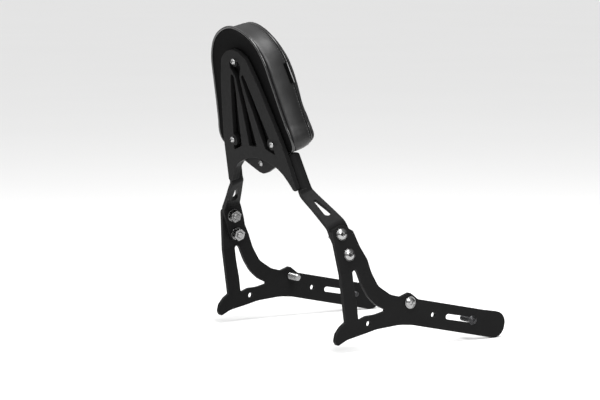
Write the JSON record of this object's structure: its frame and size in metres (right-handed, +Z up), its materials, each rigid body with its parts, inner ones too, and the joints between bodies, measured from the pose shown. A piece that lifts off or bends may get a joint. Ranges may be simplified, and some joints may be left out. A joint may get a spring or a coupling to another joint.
{
  "type": "sissy bar",
  "caption": "Padded passenger backrest on a bent flat-steel yoke, bolted between side brackets that clamp to a motorbike's rear sub-frame.",
  "frame": {"origin": "on the middle plane, on the line through the two main bolts of the side brackets", "axes": "+X towards the front of the bike, +Y to the rider's left, +Z up"},
  "size_m": [0.2925, 0.275, 0.3694],
  "materials": {
    "powder_coat": "satin black powder coat with a very fine orange-peel grain",
    "zinc": "bright zinc plate",
    "black_screw": "black oxide, slightly glossy",
    "pad_vinyl": "semi-gloss black vinyl with a fine grain",
    "pad_back_vinyl": "matt black vinyl back panel",
    "pad_foam": "open-cell foam",
    "pad_board": "dark plywood",
    "tag_fabric": "blank woven tag",
    "spacer_rubber": "black rubber washers"
  },
  "bodies": {
    "root": {"right_side_bracket": "powder_coat", "left_side_bracket": "powder_coat", "arm_yoke": "powder_coat", "arch_plate": "powder_coat", "pad_base_board": "pad_board", "pad_foam": "pad_foam", "pad_cover": "pad_vinyl", "pad_back_panel": "pad_back_vinyl", "pad_piping": "pad_vinyl", "pad_tag": "tag_fabric", "pad_screws": "zinc", "pad_spacers": "spacer_rubber", "pad_inserts": "zinc", "tongue_screw": "zinc", "tongue_nut": "zinc", "arm_bolts": "zinc", "arm_washers": "zinc", "arm_nuts": "zinc", "main_bolts": "zinc", "slot_screws": "black_screw"}
  },
  "joints": []
}
